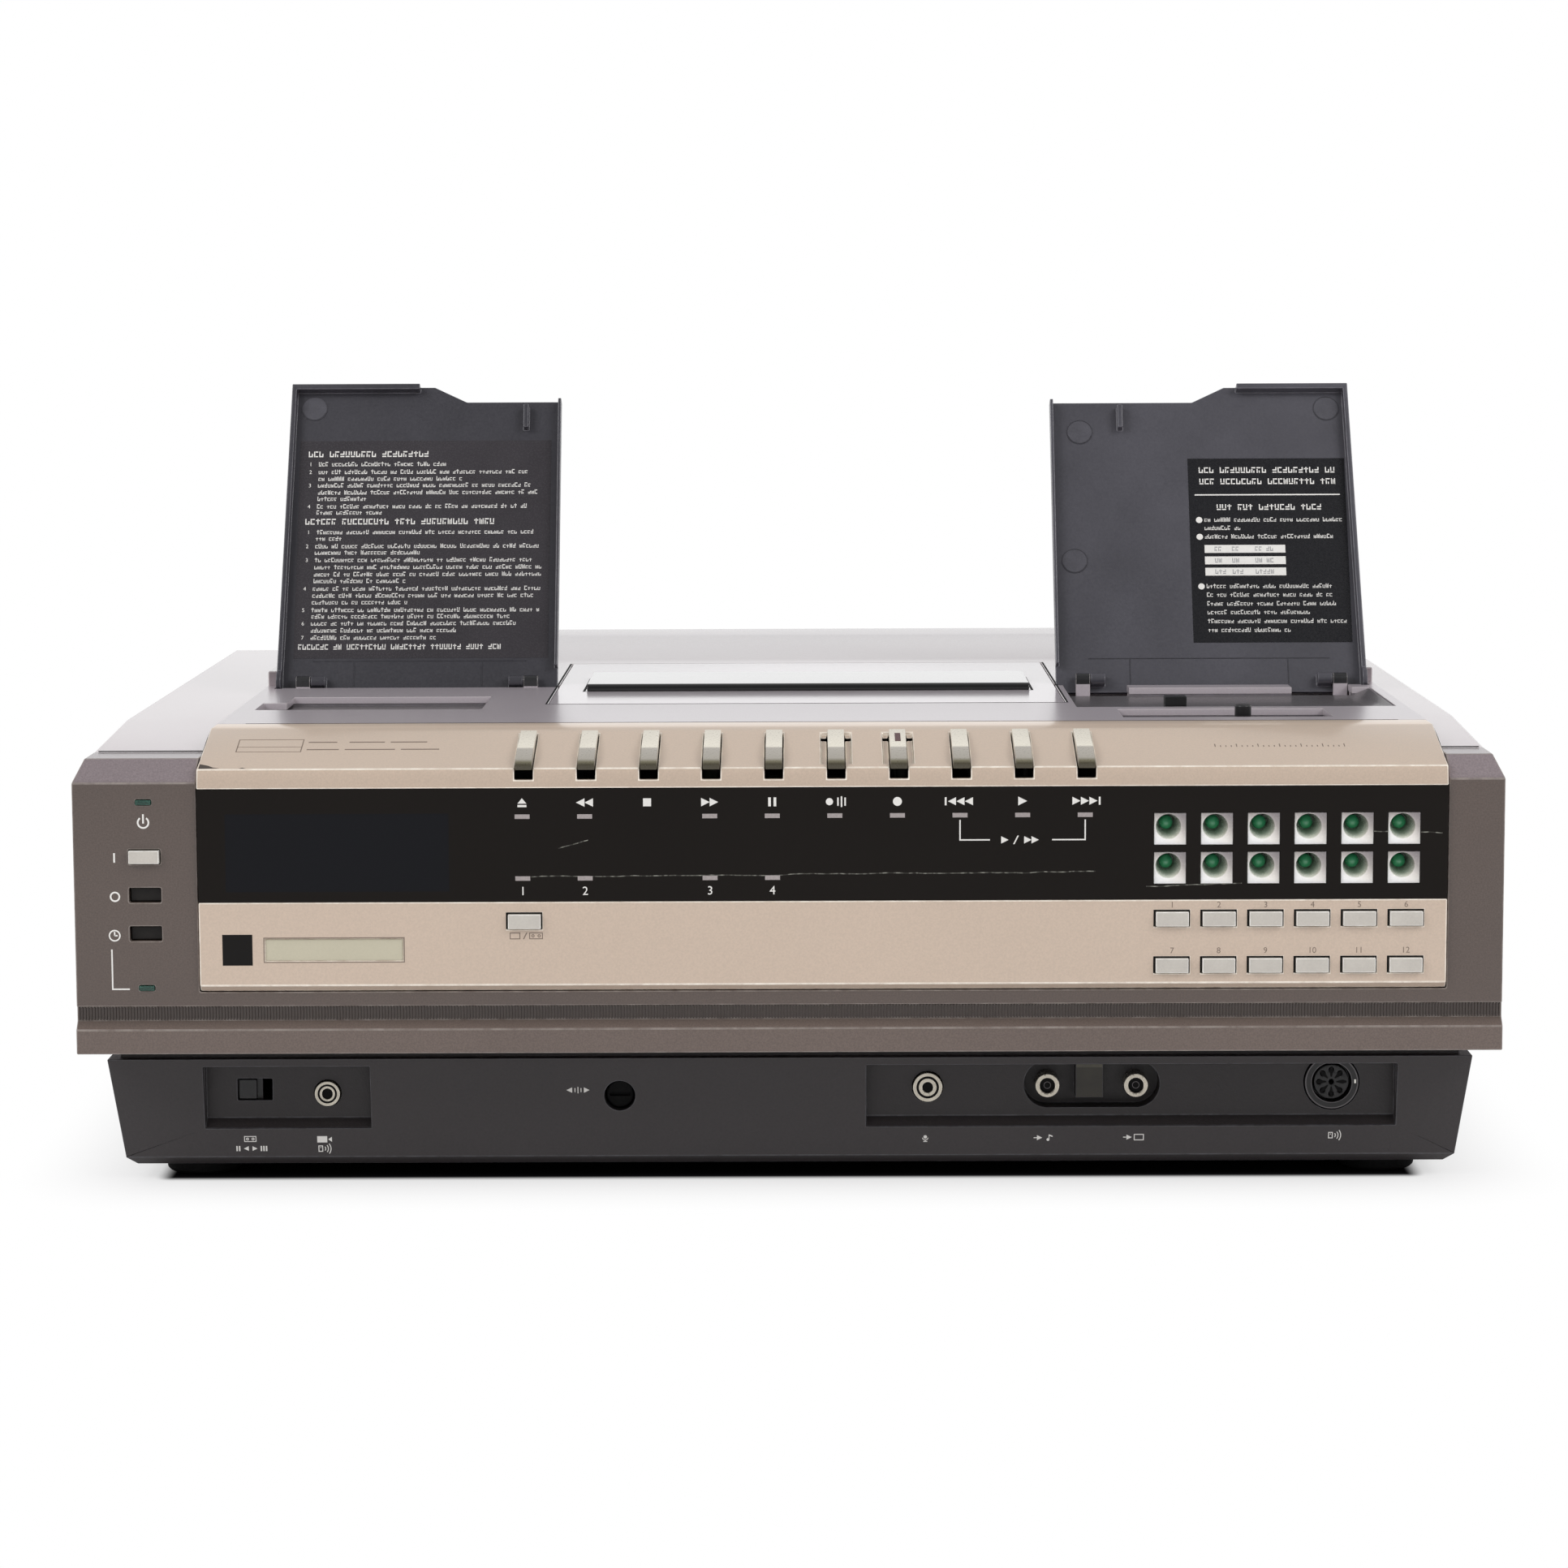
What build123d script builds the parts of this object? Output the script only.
from build123d import *
import math
import os

# Top loading video cassette recorder with two open control lids.
# X runs along the front, Y from front to back, Z up, all in millimetres.
# The origin is on the surface it stands on, under the middle of the case.

# Case outline
width = 480.0
depth = 388.0
foot_height = 5.2
base_height = 38.2
shadow_gap = 6.2
band_height = 8.3
ledge_rise = 2.9
rib_height = 4.7
rail_height = 5.0
lower_face_height = 30.5
window_height = 38.4
lip_height = 6.6
slant_rise = 10.0
bezel_above_window = 2.0
bezel_chamfer_rise = 7.6
cover_drop = 2.8
raised_rise = 5.5
skin = 2.5
gap = 0.3

# Heights of the main lines, from the floor up
base_bottom = foot_height
base_top = base_bottom + base_height
bezel_z = base_top + shadow_gap
band_top = bezel_z + band_height
ledge_top = band_top + ledge_rise
rib_top = ledge_top + rib_height
panel_z = rib_top + rail_height
window_z = panel_z + lower_face_height
window_top = window_z + window_height
crease_z = window_top + lip_height
deck_z = crease_z + slant_rise
bezel_face_top = window_top + bezel_above_window
bezel_top = bezel_face_top + bezel_chamfer_rise
cover_z = deck_z - cover_drop
raised_z = deck_z + raised_rise

# Lines from front to back
front = -depth / 2
back = depth / 2
face_y = front + 2.0
rib_y = front + 3.0
panel_y = front + 0.5
crease_y = front + 2.0
bezel_depth = 27.7
bezel_chamfer_run = 7.0
slant_run = 35.6
panel_depth = 53.0
cover_slope_run = 68.0
cover_y = front + bezel_depth
cover_back = back - 4.0
slant_y = crease_y + slant_run
strip_y = front + panel_depth

# Lines from side to side
left_stile = 42.0
right_stile = 19.2
side_chamfer = 3.4
side_shoulder = 0.6
case_left = -width / 2
case_right = width / 2
panel_left = case_left + left_stile
panel_right = case_right - right_stile

# Base tray
base_side_inset = 6.1
base_foot_inset = 11.4
base_front_inset = 24.0
base_front_foot_inset = 30.0
base_back_foot_inset = 10.0
neck_inset = 4.0
neck_height = 18.0
base_chamfer = 3.0
bezel_wall = 3.0
flange_height = 2.0
neck_side = width / 2 - base_side_inset - neck_inset
neck_front = front + bezel_depth + gap
neck_back = back - 7.3

# Jack fields in the base
field_z = base_bottom + 13.3
field_height = 22.1
field_floor_y = front + 32.0
field_bevel_rise = 3.0
field_bevel_y = front + 28.3
field_wall = 2.5
field_margin = 3.0
left_field_x = case_left + 38.8
left_field_width = 57.2
right_field_x = case_right - 213.7
right_field_width = 182.0
switch_slot_x = left_field_x + 10.8
switch_slot_height = 7.5
switch_slot_z = field_z + 9.1
switch_knob_width = 6.0
switch_travel = 5.0
switch_end = 0.5
switch_side = 0.4
switch_slot_width = switch_knob_width + switch_travel + 2 * switch_end
camera_jack_x = left_field_x + 41.9
camera_jack_z = field_z + 11.5
camera_jack_r = 4.4
mic_jack_x = right_field_x + 21.3
mic_jack_z = field_z + 13.1
mic_jack_r = 5.1
mini_bore_r = 1.8
phono_z = field_z + 13.3
phono_x = right_field_x + 62.6
phono_pitch = 30.5
phono_r = 4.15
phono_bore_r = 2.6
phono_pocket_r = 8.1
phono_pocket_z = field_z + 13.9
phono_pocket_depth = 8.0
round_socket_x = right_field_x + 160.4
round_socket_z = field_z + 14.3
round_socket_r = 9.3
round_socket_face_r = 6.8
round_socket_pin_r = 0.9
round_socket_pin_circle = 4.2
tracking_x = case_left + 181.7
tracking_z = base_bottom + 24.7
tracking_hole_r = 5.3
tracking_knob_r = 4.6
tracking_shaft_r = 3.0
tracking_tube_wall = 2.0
tracking_tube_depth = 18.0
shaft_clearance = 0.06

# Front controls
window_clearance = 0.3
power_x = case_left + 23.9
power_window_width = 10.8
power_window_height = 5.0
power_on_z = window_z + 15.5
power_pitch = 13.05
lamp_width = 5.3
lamp_height = 1.8
power_lamp_z = power_on_z + 18.4
timer_lamp_z = power_on_z - 44.6
key_count = 10
key_pitch = 20.94
key_first_x = panel_left + 109.55
key_width = 5.6
key_slot_clearance = 0.3
key_slot_z = crease_z - 3.9
key_slot_run = 32.2
key_pivot_run = 62.0
key_pivot_z = deck_z - 6.5
key_tail_drop = 5.8
key_clearance = 0.5
key_boss_r = 3.0
key_rod_r = 1.5
key_nose_drop = 0.6
key_nose_rise = 1.3
key_proud = 1.3
key_well_width = 10.2
key_well_depth = 1.0
channel_columns = 6
channel_pitch = 15.68
channel_x = panel_right - 92.1
channel_button_width = 11.0
channel_button_height = 4.9
channel_row_1_z = panel_z + 24.1
channel_row_2_z = panel_z + 8.3
source_x = panel_left + 109.45
source_z = panel_z + 23.95
button_proud = 1.6
button_flange = 1.0
button_flange_depth = 1.5
button_stem = 9.0
plate_x = panel_left + 22.0
plate_width = 46.7
plate_z = panel_z + 10.5
plate_height = 7.8
plate_depth = 0.8
cell_size = 10.6
cell_x = panel_right - 92.9
cell_row_1_z = window_top - 14.5
cell_row_2_z = window_top - 27.7
cell_pitch = 15.66
cell_depth = 11.0
cell_flange = 0.9
cup_mouth_r = 4.35
cup_end_r = 2.8
cup_depth = 8.5
cup_lean = 0.6
cup_rise = 0.8
cup_tilt = 4.0
cup_turn = 2.0
cup_overlap = 0.5
dome_r = 2.4
dome_length = 3.2
dome_lean = 0.9
dome_rise = 1.4

# Deck, wells and lids
valley_width = 211.0
valley_centre = (panel_left + panel_right) / 2 - 4.9
valley_left = valley_centre - valley_width / 2
valley_right = valley_centre + valley_width / 2
cassette_lid_left = valley_left + 12.0
cassette_lid_right = valley_right - 12.2
cassette_lid_y = front + 118.8
cassette_lid_depth = 162.4
lid_side_clearance = 0.8
timer_lid_left = panel_left + 4.2
timer_lid_right = cassette_lid_left - lid_side_clearance
tuner_lid_left = cassette_lid_right + lid_side_clearance
tuner_lid_right = panel_right - 3.2
hinge_y = front + 186.0
hinge_z = deck_z + 2.0
block_y = hinge_y + 7.0
ramp_strip = 15.8
rear_flat = 32.0
ramp_y = cassette_lid_y + cassette_lid_depth + ramp_strip
ramp_end_y = cover_back - rear_flat
lid_long = 120.5
lid_short = 114.3
timer_lid_long_width = 56.9
timer_lid_lip_width = 51.4
timer_hook_inset = 13.5
tuner_lid_long_width = 49.5
tuner_lid_lip_width = 44.9
tuner_hook_inset = 26.9
lid_slope_width = 12.5
lid_taper = 2.2
hook_run = 9.5
hook_width = 2.0
lid_tail = 4.5
lid_under = 2.5
lid_skin = 1.8
lid_flange = 1.8
lid_inner_flange = 1.2
lid_lip = 2.2
timer_open_angle = 113.5
tuner_open_angle = 115.0
ear_r = lid_under + lid_skin
barrel_r = 2.2
pin_r = 1.5
post_width = 5.4
post_inset = 7.3
post_clearance = 0.4
rail_drop = 8.5
rail_run = 8.0
rail_web = 2.0
deck_y = strip_y + gap
deck_hinge_y = hinge_y - barrel_r - post_clearance
deck_skirt = 1.5
deck_skirt_height = 9.0
well_y = front + 101.0
timer_well_left = timer_lid_left + 2.8
timer_well_right = timer_lid_right - 22.2
timer_well_width = timer_well_right - timer_well_left
timer_well_run = 46.0
timer_well_depth = 3.3
timer_step_width = 8.4
timer_step_run = 22.0
tuner_well_run = 71.0
tuner_well_depth = 3.0
tuner_bevel = 6.5
left_slot_width = 24.0
right_slot_width = 22.5
tray_margin = 2.1
tray_floor = 2.2
tuner_well_left = tuner_lid_left + 2.4
tuner_well_right = panel_right - 3.9
trough_x = tuner_well_left + 14.0
trough_width = 73.0
trough_y = front + 65.0
trough_run = 28.0
trough_depth = 8.0
knob_top = deck_z + 3.3
band_knob_x = trough_x + 17.7
band_knob_width = 7.8
band_knob_run = 6.0
band_knob_y = well_y + 3.2
band_travel = 8.0
slider_stem = 3.0
slider_plate = 1.5
tuning_x = trough_x + 42.6
tuning_y = trough_y + 10.0
tuning_r = 2.9
set_x = timer_well_right - 27.0
mode_x = set_x - 20.0
mode_y = well_y + 10.0
mode_travel = 8.0
mode_knob_width = 6.0
set_pitch = 10.0
set_width = 7.0
set_run = 5.0
set_proud = 1.5

# Cassette lift and tape path
cassette_width = 156.0
cassette_depth = 96.0
cassette_height = 25.0
cassette_clearance = 0.8
holder_wall = 1.5
holder_ledge = 16.0
holder_inset_y = 6.0
lens_left = cassette_lid_left + 13.4
lens_width = cassette_lid_right - 12.4 - lens_left
lens_y = front + 168.0
lens_run = 46.0
lens_rise = 2.6
lens_lip = 2.0
chassis_z = 112.0
chassis_thickness = 3.0
cassette_x = (cassette_lid_left + cassette_lid_right) / 2
chassis_left = cassette_x - 106.4
chassis_right = cassette_x + 111.6
chassis_y = front + 124.0
chassis_run = 198.0
leg_r = 5.0
leg_inset = 9.0
reel_pitch = 73.0
reel_y = front + 165.0
reel_r = 18.0
reel_disc = 4.0
spindle_r = 5.0
spindle_height = 14.0
drum_y = front + 270.0
drum_r = 37.25
lower_drum_height = 20.0
upper_drum_height = 14.0
drum_shaft_r = 3.0
head_count = 3
head_slot = 3.0
ring_bore_r = 54.0
ring_width = 8.0
ring_height = 4.0
ring_guide_wall = 3.0
guide_post_r = 2.5
capstan_x = cassette_x + 62.2
capstan_y = front + 236.0
capstan_r = 2.0
flywheel_r = 32.0
flywheel_height = 8.0
flywheel_drop = 8.0
capstan_height = 24.0
floor_z = base_bottom + skin
board_z = floor_z + 14.0
board_thickness = 1.6
board_left = chassis_right + 17.0
board_right = case_right - 18.0
board_y = front + 50.0
board_back = back - 38.0
pillar_r = 3.5
pillar_inset = 8.0
can_run = 70.0
can_height = 22.0
capacitor_r = 6.0
capacitor_height = 20.0
capacitor_pitch = 28.0
chip_width = 24.0
chip_run = 10.0
chip_height = 5.0
transformer_x = case_left + 25.0
transformer_y = back - 104.0
transformer_width = 70.0
transformer_run = 58.0
transformer_height = 62.0

# Back panel
back_plate_y = back - 7.0
back_plate = 2.5
rear_lug_x = 150.0
rear_lug_width = 12.0
rear_jack_x = case_left + 90.0
rear_jack_pitch = 22.0
rear_jack_z = bezel_z + 30.0
coax_x = case_left + 175.0
coax_r = 4.7
gland_x = case_right - 60.0
gland_r = 7.5
gland_bore_r = 3.6

os.makedirs("parts", exist_ok=True)


def block(x0, x1, y0, y1, z0, z1, mode=Mode.ADD):
    """Add or cut a straight block between two corners."""
    with Locations((x0, y0, z0)):
        Box(x1 - x0, y1 - y0, z1 - z0, align=(Align.MIN, Align.MIN, Align.MIN), mode=mode)


def prism_x(points, x0, x1, mode=Mode.ADD):
    """Add or cut a side outline, given as Y and Z pairs, between two X values."""
    with BuildSketch(Plane.YZ.offset(x0)) as side:
        with BuildLine():
            Polyline(*points, close=True)
        make_face()
    extrude(side.sketch, amount=x1 - x0, mode=mode)


def prism_z(points, z0, z1, mode=Mode.ADD):
    """Add or cut a plan outline, given as X and Y pairs, between two heights."""
    with BuildSketch(Plane.XY.offset(z0)) as plan:
        with BuildLine():
            Polyline(*points, close=True)
        make_face()
    extrude(plan.sketch, amount=z1 - z0, mode=mode)


def prism_y(points, y0, y1, mode=Mode.ADD):
    """Add or cut a front outline, given as X and Z pairs, between two Y values."""
    with BuildSketch(Plane.XZ.offset(-y0)) as face:
        with BuildLine():
            Polyline(*points, close=True)
        make_face()
    extrude(face.sketch, amount=y0 - y1, mode=mode)


def shoulder_cuts(y0, y1):
    """Slope the two upper long edges of the case between two Y values."""
    half = width / 2
    for side in (-1, 1):
        prism_y(
            [
                (side * (half + 1), bezel_face_top),
                (side * half, bezel_face_top),
                (side * (half - side_chamfer), bezel_top),
                (side * (half - side_chamfer - side_shoulder), cover_z + 1),
                (side * (half + 1), cover_z + 1),
            ],
            y0, y1, Mode.SUBTRACT,
        )


def rod_x(y, z, radius, x0, x1, mode=Mode.ADD):
    """Add or cut a round bar along X."""
    with Locations(Location((x0, y, z), (0, 90, 0))):
        Cylinder(radius, x1 - x0, align=(Align.CENTER, Align.CENTER, Align.MIN), mode=mode)


def rod_y(x, z, radius, y0, y1, mode=Mode.ADD):
    """Add or cut a round bar along Y."""
    with Locations(Location((x, y0, z), (-90, 0, 0))):
        Cylinder(radius, y1 - y0, align=(Align.CENTER, Align.CENTER, Align.MIN), mode=mode)


def rod_z(x, y, radius, z0, z1, mode=Mode.ADD):
    """Add or cut a round bar along Z."""
    with Locations((x, y, z0)):
        Cylinder(radius, z1 - z0, align=(Align.CENTER, Align.CENTER, Align.MIN), mode=mode)


def save(piece, name):
    """Label a finished piece and write it out."""
    piece.part.label = name
    export_step(piece.part, f"parts/{name}.step")


# Base tray: tapered charcoal moulding with a neck that goes up inside the case
with BuildPart() as base_tray:
    for inset, floor in ((0.0, base_bottom), (skin, floor_z)):
        with BuildSketch(Plane.XY.offset(floor)):
            with Locations((0, (base_front_foot_inset - base_back_foot_inset) / 2)):
                Rectangle(
                    width - 2 * (base_foot_inset + inset),
                    depth - base_front_foot_inset - base_back_foot_inset - 2 * inset,
                )
        with BuildSketch(Plane.XY.offset(base_top - inset)):
            with Locations((0, (front + base_front_inset + cover_back) / 2)):
                Rectangle(
                    width - 2 * (base_side_inset + inset),
                    cover_back - front - base_front_inset - 2 * inset,
                )
        loft(mode=Mode.ADD if inset == 0 else Mode.SUBTRACT)
        if inset == 0:
            chamfer(base_tray.faces().sort_by(Axis.Z)[0].edges(), base_chamfer)
    neck_top = base_top - skin + neck_height
    block(-neck_side, neck_side, neck_front, neck_back, base_top - skin, neck_top)
    block(
        -neck_side + skin, neck_side - skin,
        neck_front + skin, neck_back - skin,
        base_top - skin - 0.1, neck_top + 1, Mode.SUBTRACT,
    )
    for field_x, field_width in ((left_field_x, left_field_width), (right_field_x, right_field_width)):
        block(
            field_x - field_margin, field_x + field_width + field_margin,
            neck_front + skin / 2, field_floor_y + field_wall,
            field_z - field_margin, base_top - skin,
        )
        prism_x(
            [
                (front + 20, field_z),
                (field_bevel_y, field_z),
                (field_floor_y, field_z + field_bevel_rise),
                (field_floor_y, field_z + field_height),
                (front + 20, field_z + field_height),
            ],
            field_x, field_x + field_width, Mode.SUBTRACT,
        )
    # Slot of the tape speed switch
    block(
        switch_slot_x, switch_slot_x + switch_slot_width,
        field_floor_y - 1, field_floor_y + field_wall + 1,
        switch_slot_z, switch_slot_z + switch_slot_height, Mode.SUBTRACT,
    )
    # Holes of the two small jacks and the round socket
    for x, z, radius in (
        (camera_jack_x, camera_jack_z, camera_jack_r),
        (mic_jack_x, mic_jack_z, mic_jack_r),
        (round_socket_x, round_socket_z, round_socket_r),
    ):
        rod_y(x, z, radius + gap, field_floor_y - 1, field_floor_y + field_wall + 1, Mode.SUBTRACT)
    # Deep pocket of the two phono jacks, with a block between them
    pocket_left = phono_x - phono_pocket_r - 2
    pocket_right = phono_x + phono_pitch + phono_pocket_r + 2
    pocket_floor_y = field_floor_y + phono_pocket_depth
    block(
        pocket_left, pocket_right, field_floor_y + field_wall, pocket_floor_y + skin,
        phono_pocket_z - phono_pocket_r - 1.8, base_top - skin,
    )
    with BuildSketch(Plane.XZ.offset(-field_floor_y + 1)) as pocket:
        with Locations((phono_x + phono_pitch / 2, phono_pocket_z)):
            SlotCenterToCenter(phono_pitch, 2 * phono_pocket_r)
    extrude(pocket.sketch, amount=-phono_pocket_depth - 1, mode=Mode.SUBTRACT)
    block(
        phono_x + phono_pitch / 2 - 5.5, phono_x + phono_pitch / 2 + 4,
        field_floor_y + 1, pocket_floor_y,
        phono_pocket_z - 5, phono_pocket_z + phono_pocket_r,
    )
    # Tube that carries the tracking knob
    tube_front = front + base_front_inset + 4.6
    tube_back = front + base_front_inset + tracking_tube_depth
    rod_y(tracking_x, tracking_z, tracking_hole_r + tracking_tube_wall, tube_front, tube_back)
    rod_y(tracking_x, tracking_z, tracking_hole_r, front + 20, tube_back - 2, Mode.SUBTRACT)
    shaft_hole_r = tracking_shaft_r + shaft_clearance
    rod_y(tracking_x, tracking_z, shaft_hole_r, front + 20, tube_back + 1, Mode.SUBTRACT)
    # Pillars for the circuit board
    for x in (board_left + pillar_inset, board_right - pillar_inset):
        for y in (board_y + pillar_inset, (board_y + board_back) / 2, board_back - pillar_inset):
            rod_z(x, y, pillar_r, floor_z - 0.5, board_z)
save(base_tray, "base_tray")

# Feet: four round rubber pads
with BuildPart() as feet:
    for x in (case_left + 35, case_right - 35):
        for y in (front + 52, back - 40):
            rod_z(x, y, 13, 0, foot_height)
    chamfer(feet.edges().group_by(Axis.Z)[0], 1.0)
save(feet, "feet")

# Front bezel: brown grey frame, open at the top where the champagne panel passes
with BuildPart() as front_bezel:
    prism_x(
        [
            (front, bezel_z),
            (front, band_top),
            (rib_y, ledge_top),
            (rib_y, rib_top),
            (face_y, rib_top),
            (face_y, bezel_face_top),
            (face_y + bezel_chamfer_run, bezel_top),
            (cover_y, bezel_top),
            (cover_y, bezel_z),
        ],
        case_left, case_right,
    )
    shoulder_cuts(face_y - 1, cover_y + 1)
    inner_y = rib_y + bezel_wall
    block(
        case_left + bezel_wall, case_right - bezel_wall, inner_y, cover_y + 1,
        bezel_z + bezel_wall, bezel_face_top - bezel_wall, Mode.SUBTRACT,
    )
    prism_x(
        [
            (inner_y, bezel_z + bezel_wall),
            (inner_y, bezel_face_top),
            (face_y + bezel_chamfer_run, bezel_top - bezel_wall),
            (cover_y + 1, bezel_top - bezel_wall),
            (cover_y + 1, bezel_z + bezel_wall),
        ],
        case_left + side_chamfer + bezel_wall, case_right - side_chamfer - bezel_wall, Mode.SUBTRACT,
    )
    block(
        panel_left - gap, panel_right + gap, front - 1, cover_y + 1,
        panel_z, bezel_top + 1, Mode.SUBTRACT,
    )
    for row in range(3):
        window_mid_z = power_on_z - row * power_pitch
        block(
            power_x - power_window_width / 2, power_x + power_window_width / 2,
            front - 1, inner_y + 1,
            window_mid_z - power_window_height / 2, window_mid_z + power_window_height / 2, Mode.SUBTRACT,
        )
    for lamp_z in (power_lamp_z, timer_lamp_z):
        block(
            power_x - lamp_width / 2, power_x + lamp_width / 2, front - 1, inner_y + 1,
            lamp_z - lamp_height / 2, lamp_z + lamp_height / 2, Mode.SUBTRACT,
        )
save(front_bezel, "front_bezel")


def panel_outline(inset):
    """Side outline of the champagne panel, drawn in by an inset all round the front and top."""
    return [
        (panel_y + 2.0 + inset, panel_z + gap),
        (panel_y + inset, panel_z + gap + 2.0),
        (panel_y + inset, window_top),
        (crease_y + inset, crease_z - 0.6 * inset),
        (slant_y + 0.14 * inset, deck_z - inset),
        (strip_y, deck_z - inset),
        (strip_y, cover_z - 0.6),
        (cover_y - 0.5, cover_z - 0.6),
        (cover_y - 0.5, panel_z + gap),
    ]


def key_centre(index):
    """Middle of a piano key across the front."""
    return key_first_x + index * key_pitch


# Trim panel: champagne front that folds back over the top edge
with BuildPart() as trim_panel:
    prism_x(panel_outline(0), panel_left, panel_right)
    inner = panel_outline(skin)
    cavity = [
        (panel_y + skin, panel_z - 1),
        *inner[1:5],
        (strip_y + 1, deck_z - skin),
        (strip_y + 1, cover_z - 2),
        (cover_y, panel_z - 1),
    ]
    prism_x(cavity, panel_left + skin, panel_right - skin, Mode.SUBTRACT)
    # Window seat across the whole width
    block(
        panel_left - 1, panel_right + 1, front - 1, panel_y + skin,
        window_z, window_top, Mode.SUBTRACT,
    )
    # Shallow wells beside the two recording keys
    slope = slant_rise / slant_run
    for index in (5, 6):
        prism_x(
            [
                (crease_y + 3, crease_z + 3 * slope - key_well_depth),
                (front + key_slot_run, deck_z - (slant_y - front - key_slot_run) * slope - key_well_depth),
                (front + key_slot_run, deck_z + 2),
                (crease_y + 3, deck_z + 2),
            ],
            key_centre(index) - key_well_width / 2, key_centre(index) + key_well_width / 2,
            Mode.SUBTRACT,
        )
    for index in range(key_count):
        block(
            key_centre(index) - key_width / 2 - key_slot_clearance,
            key_centre(index) + key_width / 2 + key_slot_clearance,
            front - 1, front + key_slot_run, key_slot_z, deck_z + 2, Mode.SUBTRACT,
        )
    for column in range(channel_columns):
        for row_z in (channel_row_1_z, channel_row_2_z):
            x = channel_x + column * channel_pitch
            block(
                x - channel_button_width / 2 - window_clearance,
                x + channel_button_width / 2 + window_clearance,
                front - 1, panel_y + skin + 1,
                row_z - channel_button_height / 2 - window_clearance,
                row_z + channel_button_height / 2 + window_clearance, Mode.SUBTRACT,
            )
    block(
        source_x - channel_button_width / 2 - window_clearance,
        source_x + channel_button_width / 2 + window_clearance,
        front - 1, panel_y + skin + 1,
        source_z - channel_button_height / 2 - window_clearance,
        source_z + channel_button_height / 2 + window_clearance, Mode.SUBTRACT,
    )
    block(
        plate_x, plate_x + plate_width, front - 1, panel_y + plate_depth,
        plate_z, plate_z + plate_height, Mode.SUBTRACT,
    )
save(trim_panel, "trim_panel")

# Display window: one dark plate across the panel, with square openings for the channel lamps
window_face_y = panel_y + 0.4
window_back_y = panel_y + skin
with BuildPart() as display_window:
    block(panel_left, panel_right, window_face_y, window_back_y, window_z + 0.1, window_top - 0.1)
    for column in range(channel_columns):
        for row_z in (cell_row_1_z, cell_row_2_z):
            x = cell_x + column * cell_pitch
            block(
                x - cell_size / 2 - 0.15, x + cell_size / 2 + 0.15, front - 1, window_back_y + 1,
                row_z - cell_size / 2 - 0.15, row_z + cell_size / 2 + 0.15, Mode.SUBTRACT,
            )
save(display_window, "display_window")

# Indicator lamps: square reflector cups with a domed bulb, and two small bezel lamps
with BuildPart() as indicator_lamps:
    half = cell_size / 2
    cup_end_y = window_face_y + cup_depth
    for column in range(channel_columns):
        for row_z in (cell_row_1_z, cell_row_2_z):
            x = cell_x + column * cell_pitch
            block(x - half, x + half, window_face_y, window_face_y + cell_depth, row_z - half, row_z + half)
            block(
                x - half - cell_flange, x + half + cell_flange, window_back_y, window_back_y + 1.2,
                row_z - half - cell_flange, row_z + half + cell_flange,
            )
            mouth = Location(
                (x - cup_lean, window_face_y - cup_overlap, row_z + cup_rise), (cup_tilt - 90, -cup_turn, 0),
            )
            with Locations(mouth):
                Cone(
                    cup_mouth_r, cup_end_r, cup_depth + cup_overlap,
                    align=(Align.CENTER, Align.CENTER, Align.MIN), mode=Mode.SUBTRACT,
                )
            dome_y = cup_end_y - dome_length + dome_r
            rod_y(x - dome_lean, row_z + dome_rise, dome_r, dome_y, cup_end_y + 1.0)
            with Locations((x - dome_lean, dome_y, row_z + dome_rise)):
                Sphere(dome_r)
    for lamp_z in (power_lamp_z, timer_lamp_z):
        block(
            power_x - lamp_width / 2 + 0.1, power_x + lamp_width / 2 - 0.1, face_y - 0.5, inner_y + 3,
            lamp_z - lamp_height / 2 + 0.1, lamp_z + lamp_height / 2 - 0.1,
        )
        block(
            power_x - lamp_width / 2 - 1, power_x + lamp_width / 2 + 1, inner_y, inner_y + 2,
            lamp_z - lamp_height / 2 - 1, lamp_z + lamp_height / 2 + 1,
        )
save(indicator_lamps, "indicator_lamps")


def push_button(x, z, cap_width, cap_height, cap_y, wall_y):
    """Cap through a window, and a flange that rests behind the wall."""
    block(
        x - cap_width / 2, x + cap_width / 2, cap_y, wall_y + button_flange_depth,
        z - cap_height / 2, z + cap_height / 2,
    )
    block(
        x - cap_width / 2 - button_flange, x + cap_width / 2 + button_flange,
        wall_y, wall_y + button_flange_depth,
        z - cap_height / 2 - button_flange, z + cap_height / 2 + button_flange,
    )
    rod_y(x, z, 1.6, wall_y, wall_y + button_stem)


# Channel buttons: two rows of six
channel_rows = (channel_row_1_z, channel_row_2_z)
for number in range(2 * channel_columns):
    with BuildPart() as channel_button:
        push_button(
            channel_x + (number % channel_columns) * channel_pitch,
            channel_rows[number // channel_columns],
            channel_button_width, channel_button_height, panel_y - button_proud, panel_y + skin,
        )
    save(channel_button, f"channel_button_{number + 1:02d}")

# Source button under the indicator row
with BuildPart() as source_button:
    push_button(
        source_x, source_z, channel_button_width, channel_button_height,
        panel_y - button_proud, panel_y + skin,
    )
save(source_button, "source_button")

# Power buttons: the first stands proud, the other two are set back in their windows
for row, name in enumerate(("power_on_button", "power_off_button", "timer_button")):
    with BuildPart() as power_button:
        push_button(
            power_x, power_on_z - row * power_pitch,
            power_window_width - 2 * window_clearance, power_window_height - 2 * window_clearance,
            face_y - 1.8 if row == 0 else face_y + 2.2, inner_y,
        )
    save(power_button, name)

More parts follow.
